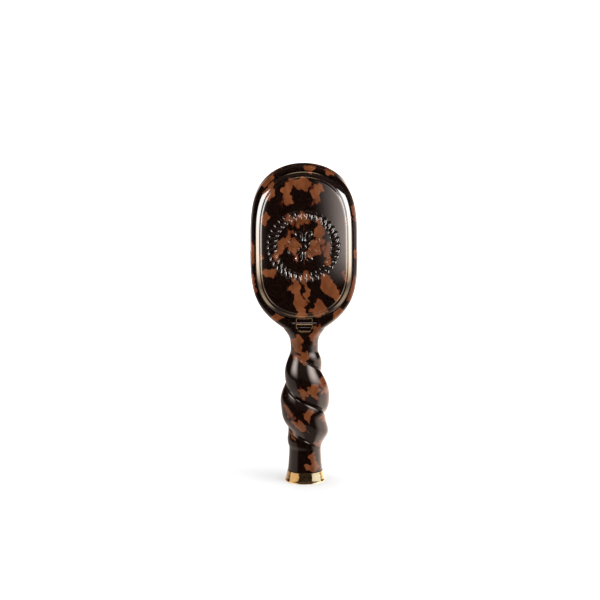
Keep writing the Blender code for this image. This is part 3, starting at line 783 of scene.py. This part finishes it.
def steel():
    material, nodes, place = new_look("steel_turned")
    marks = nodes.noise(nodes.scaled(place, 0.6, 0.6, 14.0), 1.0, 3.0, 0.6)
    color = nodes.ramp(marks, ((0.25, (0.42, 0.42, 0.43)), (0.8, (0.66, 0.66, 0.68))))
    rough = nodes.math("MULTIPLY_ADD", marks, 0.2, 0.2)
    normal = bump(nodes, marks, 0.2, 0.02)
    finish_look(nodes, {"Base Color": color, "Metallic": 1.0, "Roughness": rough, "Normal": normal})
    return material


def mirror():
    material, nodes, place = new_look("mirror_silvered")
    film = nodes.noise(place, 0.06, 3.0, 0.6)
    color = nodes.ramp(film, ((0.2, (0.86, 0.88, 0.88)), (0.8, (0.93, 0.94, 0.95))))
    rough = nodes.math("MULTIPLY_ADD", film, 0.02, 0.004)
    finish_look(nodes, {"Base Color": color, "Metallic": 1.0, "Roughness": rough})
    return material


def soft_plastic(name, tones, rough, spread, grain, strength):
    """Rubber or nylon: a slow colour drift, fine grain in the bump and in the sheen."""
    dark, light = tones
    material, nodes, place = new_look(name)
    drift = nodes.noise(place, 0.09, 3.0, 0.6)
    color = nodes.ramp(drift, ((0.25, dark), (0.8, light)))
    fine = nodes.noise(place, grain, 3.0, 0.6)
    finish_look(nodes, {"Base Color": color, "Roughness": nodes.math("MULTIPLY_ADD", fine, spread, rough),
                        "Normal": bump(nodes, fine, strength, 0.06)})
    return material


# ---------------------------------------------------------------- placement of the shell's patches
# How strongly the pattern is steered, and where a patch starts to fade and ends, in shares of its half size.
BODY_LEAN, PANEL_LEAN, PATCH_STRENGTH, PATCH_CORE, PATCH_END = -0.13, -0.14, 0.30, 0.35, 1.75
# Amber patches: x, z, half width, half height in millimetres, turn in degrees.
PANEL_PATCHES = (
    (-5.1, 228.5, 9.0, 4.2, 0), (1.8, 225.5, 3.4, 4.6, 10), (-11.5, 226.5, 3.8, 3.8, 0),
    (-24.0, 226.5, 3.0, 3.6, 40), (-12.1, 221.0, 3.2, 8.2, 10), (9.3, 219.6, 4.4, 10.2, -12),
    (-26.5, 220.5, 3.6, 6.6, -28), (-28.5, 201.6, 2.2, 4.5, 0), (-6.4, 199.4, 8.6, 6.0, 0),
    (-6.7, 184.0, 4.6, 10.5, 0), (7.1, 177.5, 6.6, 6.2, 12), (11.4, 193.4, 3.0, 9.5, 0),
    (-18.5, 177.1, 2.6, 12.0, -27), (-25.4, 161.3, 6.0, 3.4, 0), (17.8, 173.8, 2.6, 8.0, 0),
    (-5.6, 147.0, 2.6, 10.0, 6), (-2.4, 134.0, 4.4, 8.0, 12), (0.8, 157.5, 3.0, 5.0, 0),
    (2.0, 145.5, 2.0, 7.0, 0), (20.0, 148.8, 5.0, 10.5, 35), (11.4, 133.5, 7.0, 5.6, 30),
    (5.0, 237.0, 2.0, 1.6, 0), (29.5, 158.0, 2.4, 5.0, 0), (-31.5, 173.0, 2.0, 4.0, 0),
    (33.0, 200.0, 2.0, 3.0, 0),
)
BODY_PATCHES = (
    (-5.8, 106.5, 4.0, 7.0, 0), (-1.2, 96.3, 5.2, 4.0, 0), (8.3, 113.0, 3.2, 7.5, -15),
    (-20.0, 128.0, 5.0, 4.0, 40), (26.0, 130.0, 6.0, 5.0, -40), (-38.0, 176.0, 3.0, 7.0, 0),
    (-37.5, 152.0, 3.0, 8.0, 8), (38.0, 206.0, 3.0, 6.0, 0), (38.0, 176.0, 3.0, 4.0, 0),
    (36.0, 146.0, 3.5, 9.0, -12), (-27.0, 228.0, 6.0, 4.0, 45), (4.0, 239.0, 5.0, 2.5, 0),
    (20.0, 236.0, 6.0, 3.0, -20), (6.7, 72.5, 4.0, 5.6, 10), (-2.0, 71.5, 2.4, 5.4, 35),
    (14.6, 76.6, 3.2, 9.0, 0), (-10.3, 53.7, 3.6, 5.0, 20), (2.4, 53.7, 2.4, 6.2, 0),
    (14.6, 50.3, 3.2, 4.6, 0), (-3.7, 45.3, 2.8, 11.0, 50), (10.4, 29.6, 3.0, 3.2, 0),
    (-8.5, 36.0, 2.0, 3.6, 0), (5.9, 19.0, 2.3, 4.2, 20), (5.2, 12.4, 4.6, 2.8, 0),
    (13.2, 13.0, 2.0, 3.6, 0),
)


def wavy(x, z):
    """Bends places on the back face a little, so that no patch is a plain ellipse."""
    bent_x = x + 1.1 * np.sin(0.62 * z + 0.3 * x) + 0.6 * np.sin(1.35 * z - 0.5 * x + 1.0)
    bent_z = z + 1.3 * np.sin(0.55 * x + 0.2 * z + 2.0) + 0.7 * np.sin(1.2 * x + 0.7 * z)
    return bent_x, bent_z


def lean_pattern(item, patches, base):
    """Writes at each vertex how far the amber pattern is steered; it fades out away from the back face."""
    count = len(item.data.vertices)
    points = np.zeros(count * 3)
    item.data.vertices.foreach_get("co", points)
    points = points.reshape(-1, 3) / MM
    total = np.zeros(count)
    bent_x, bent_z = wavy(points[:, 0], points[:, 2])
    for x, z, wide, tall, turn in patches:
        c, s = math.cos(math.radians(turn)), math.sin(math.radians(turn))
        dx, dz = bent_x - x, bent_z - z
        level = np.sqrt(((dx * c + dz * s) / wide) ** 2 + ((dz * c - dx * s) / tall) ** 2)
        total = np.maximum(total, 1.0 - smooth_step(level, PATCH_CORE, PATCH_END))
    reach = smooth_step(-points[:, 1], -2.0, 5.0)
    for name, values in (("amber", (base + PATCH_STRENGTH * total) * reach), ("steer", reach)):
        layer = item.data.attributes.new(name, "FLOAT", "POINT")
        layer.data.foreach_set("value", values.astype(np.float32))


# ---------------------------------------------------------------- studio
WHITE, WARM, EMBER, SMOKE = (1.0, 0.98, 0.95), (1.0, 0.72, 0.45), (1.0, 0.58, 0.27), (1.0, 0.84, 0.77)
FOOT_WARM, FOOT_COOL = (1.0, 0.80, 0.60), (0.85, 1.0, 1.30)


def studio_world():
    """White to the camera and to diffuse light; reflections see a dark room with low glows at the sides."""
    world = bpy.data.worlds.new("studio")
    bpy.context.scene.world = world
    world.use_nodes = True
    nodes = Nodes(world.node_tree)
    ray = nodes.add("ShaderNodeTexCoord").outputs["Generated"]
    axes = nodes.add("ShaderNodeSeparateXYZ", {0: ray}).outputs
    degrees = 180.0 / math.pi
    turn = nodes.math("ARCTAN2", axes[0], nodes.math("MULTIPLY", axes[1], -1.0))
    turn = nodes.math("MULTIPLY", turn, degrees)
    rise = nodes.math("MULTIPLY", nodes.math("ARCSINE", axes[2]), degrees)

    def window(value, low, high, soft):
        rising, falling = nodes.step(value, low, low + soft), nodes.step(value, high + soft, high)
        return nodes.math("MULTIPLY", rising, falling)

    def light(power, *windows):
        total = power
        for part in windows:
            total = nodes.math("MULTIPLY", total, part)
        return total

    downward = window(rise, -70.0, -8.0, 11.0)
    lights = (
        light(0.65, nodes.step(turn, -44.0, -66.0), downward),
        light(2.2, nodes.step(turn, 48.0, 84.0), downward),
        light(0.16, nodes.step(rise, 5.0, 40.0)),
        light(0.35, nodes.step(rise, -24.0, -36.0)),
    )
    total = 0.01
    for part in lights:
        total = nodes.math("ADD", part, total)
    path = nodes.add("ShaderNodeLightPath").outputs
    glossy, soft, clear = (
        nodes.add("ShaderNodeBackground", {"Color": (*color, 1.0), "Strength": strength}).outputs[0]
        for color, strength in (((1.0, 0.80, 0.70), total), ((1.0,) * 3, 0.78), ((1.0,) * 3, 1.05)))
    choice = nodes.add("ShaderNodeMixShader", {0: path["Is Glossy Ray"], 1: soft, 2: glossy}).outputs[0]
    choice = nodes.add("ShaderNodeMixShader", {0: path["Is Camera Ray"], 1: choice, 2: clear}).outputs[0]
    nodes.add("ShaderNodeOutputWorld", {"Surface": choice})


def area_light(name, place, aim, size, power):
    data = bpy.data.lights.new(name, "AREA")
    data.shape = "RECTANGLE"
    data.size, data.size_y = size
    data.energy = power
    lamp = bpy.data.objects.new(name, data)
    bpy.context.scene.collection.objects.link(lamp)
    lamp.location = place
    lamp.rotation_euler = (Vector(aim) - Vector(place)).to_track_quat("-Z", "Y").to_euler()
    lamp.visible_glossy = False
    lamp.visible_camera = False


def softbox(name, receivers, azimuth, reach, z_range, width, radiance, fades, tone=WHITE, low_tone=None):
    """Upright light beside the object, seen only as a reflection and only in the receivers.

    The fades are the soft shares of its left, right, bottom and top edges. A low_tone tints its lower end.
    """
    low, high = z_range
    data = bpy.data.lights.new(name, "AREA")
    data.shape = "RECTANGLE"
    data.size, data.size_y = width * MM, (high - low) * MM
    data.energy = radiance * 4.0 * data.size * data.size_y
    data.use_shadow = False
    data.use_nodes = True
    data.node_tree.nodes.clear()
    nodes = Nodes(data.node_tree)
    spot = nodes.add("ShaderNodeNewGeometry").outputs["Parametric"]
    across, up = nodes.add("ShaderNodeSeparateXYZ", {0: spot}).outputs[:2]
    left, right, bottom, top = (max(fade, 0.001) for fade in fades)
    mask = nodes.math("MULTIPLY", nodes.step(across, 0.0, left), nodes.step(across, 1.0, 1.0 - right))
    mask = nodes.math("MULTIPLY", mask, nodes.step(up, 0.0, bottom))
    mask = nodes.math("MULTIPLY", mask, nodes.step(up, 1.0, 1.0 - top))
    tint = nodes.ramp(up, ((0.12, low_tone or tone), (0.50, tone)))
    glow = nodes.add("ShaderNodeEmission", {"Color": tint, "Strength": mask})
    nodes.add("ShaderNodeOutputLight", {"Surface": glow.outputs[0]})
    lamp = bpy.data.objects.new(name, data)
    bpy.context.scene.collection.objects.link(lamp)
    turn = math.radians(azimuth)
    out = Vector((math.sin(turn), -math.cos(turn), 0.0))
    lamp.location = out * reach * MM + Vector((0.0, 0.0, 0.5 * (low + high) * MM))
    lamp.rotation_euler = (-out).to_track_quat("-Z", "Y").to_euler()
    lamp.visible_camera = lamp.visible_diffuse = lamp.visible_transmission = False
    lit = bpy.data.collections.new(name + "_receivers")
    for item in receivers:
        lit.objects.link(item)
    lamp.light_linking.receiver_collection = lit


def studio_lights(body, panel, lever, emblem, foot):
    """Softboxes placed for the main view, then the two lamps for the diffuse surfaces and the floor."""
    thin, even, wide = (0.2,) * 4, (0.3,) * 4, (0.5,) * 4
    under = (0.3, 0.3, 0.1, 0.3)
    for hand, side, power in (("left", -1, 17.0), ("right", 1, 19.0)):
        softbox("band_" + hand, [panel], 55.0 * side, 250.0, (62.0, 300.0), 205.0, power,
                (0.15, 0.15, 0.32, 0.05), low_tone=WARM)
        softbox("corner_" + hand, [panel], 55.0 * side, 250.0, (-170.0, 110.0), 190.0, 4.5,
                (0.2, 0.2, 0.3, 0.4), WARM)
    softbox("sheen_right", [panel, emblem], 15.0, 400.0, (60.0, 260.0), 185.0, 11.0,
            (0.85, 0.1, 0.3, 0.2), SMOKE)
    softbox("crown_arc", [panel], 0.0, 60.0, (350.0, 450.0), 170.0, 7.0, thin, WARM)
    softbox("sheen_left", [panel], -17.0, 400.0, (60.0, 260.0), 110.0, 1.8, (0.1, 0.8, 0.2, 0.2), SMOKE)
    softbox("dots_left", [emblem], -52.0, 250.0, (60.0, 210.0), 34.0, 36.0, thin)
    softbox("dots_right", [emblem], 52.0, 250.0, (-60.0, 230.0), 34.0, 30.0, thin)
    softbox("under_edge", [panel], 0.0, 120.0, (-160.0, 20.0), 200.0, 2.0, under, EMBER)
    softbox("lever_under", [lever], 0.0, 120.0, (-200.0, 10.0), 260.0, 18.0, under, EMBER)
    for hand, side in (("left", -1), ("right", 1)):
        softbox("lever_" + hand, [lever], 58.0 * side, 250.0, (0.0, 240.0), 200.0, 14.0, even, EMBER)
    softbox("hinge_top", [body, lever], 0.0, 60.0, (148.0, 192.0), 44.0, 9.0, even, SMOKE)
    softbox("lobe_left", [body], -60.0, 120.0, (85.0, 240.0), 140.0, 8.5, wide, SMOKE)
    softbox("lobe_right", [body], 64.0, 120.0, (65.0, 250.0), 200.0, 9.0, wide, SMOKE)
    softbox("foot_left", [foot], -71.0, 200.0, (-160.0, 60.0), 260.0, 0.65, (0.1,) * 4, FOOT_WARM)
    softbox("foot_right", [foot], 72.0, 200.0, (-160.0, 60.0), 260.0, 0.95, (0.1,) * 4, FOOT_COOL)
    area_light("key", (0.9, -0.5, 1.6), (0.0, 0.0, 0.1), (0.9, 0.9), 9.0)
    area_light("top", (-0.2, 0.3, 2.0), (0.0, 0.0, 0.1), (1.6, 1.6), 12.0)


def build_floor():
    shells = Shells()
    count = 25
    line = np.linspace(-9000.0, 9000.0, count)
    points = [(x, y, 0.0) for y in line for x in line]
    starts = [row * count + column for row in range(count - 1) for column in range(count - 1)]
    shells.add(points, [(i, i + 1, i + count + 1, i + count) for i in starts])
    material, nodes, place = new_look("pale_floor")
    paper = nodes.ramp(nodes.noise(place, 0.02, 3.0), ((0.3, (0.95, 0.95, 0.95)), (0.7, (0.97, 0.97, 0.97))))
    # Painted light: the floor glows faintly near the brush and more strongly from 120 to 700 mm out, so the far
    # floor turns white while the lit shadow near the foot stays.
    away = nodes.add("ShaderNodeVectorMath", {0: place}, operation="LENGTH").outputs["Value"]
    painted_floor_glow = nodes.math("MULTIPLY_ADD", nodes.step(away, 120.0, 700.0), 0.5, 0.04)
    finish_look(nodes, {"Base Color": paper, "Roughness": 0.8, "Specular IOR Level": 0.1,
                        "Emission Color": (1.0, 1.0, 1.0, 1.0), "Emission Strength": painted_floor_glow})
    floor = shells.build("floor", material)
    floor.visible_glossy = False


def place_camera():
    data = bpy.data.cameras.new("camera")
    data.sensor_width = 36.0
    data.lens = CAMERA_LENS
    data.clip_start = 0.05
    data.shift_x = CAMERA_SHIFT
    camera = bpy.data.objects.new("camera", data)
    bpy.context.scene.collection.objects.link(camera)
    camera.location = CAMERA_PLACE
    camera.rotation_mode = "XYZ"
    camera.rotation_euler = (math.radians(90.0 - CAMERA_DOWN_DEG), math.radians(CAMERA_ROLL_DEG), 0.0)
    bpy.context.scene.camera = camera


# ---------------------------------------------------------------- put it together
def take_over(item, body, node):
    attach(item, body)
    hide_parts(node)


def main():
    shell = tortoiseshell()
    looks = {"gold": gold(), "steel": steel(), "mirror": mirror()}
    looks["pad"] = soft_plastic("pad_rubber_matt", PAD_TONES, 0.6, 0.2, 2.2, 0.5)
    rubber = soft_plastic("cushion_rubber_satin", CUSHION_TONES, 0.38, 0.2, 1.8, 0.35)
    nylon = soft_plastic("bristle_nylon_satin", NYLON_TONES, 0.2, 0.15, 2.5, 0.15)

    body = build_body(shell)
    lean_pattern(body, BODY_PATCHES, BODY_LEAN)
    take_over(body, "brush", "brush_body")
    back_parts = [build(shell) for build in (build_panel, build_lever, build_emblem)]
    for item in back_parts:
        lean_pattern(item, PANEL_PATCHES, PANEL_LEAN)
        take_over(item, "panel", "back_panel")
    take_over(build_cushion(rubber), "brush", "cushion_pad")
    take_over(build_retainer(shell), "brush", "cushion_retainer")
    for node, row in build_rows(nylon):
        take_over(row, "brush", node)
    made = build_small(looks)
    for item, node, carrier in made.values():
        take_over(item, carrier, node)

    build_floor()
    studio_world()
    panel, lever, emblem = back_parts
    studio_lights(body, panel, lever, emblem, made["foot_band"][0])
    place_camera()
    bpy.context.scene.view_settings.view_transform = "Standard"


main()
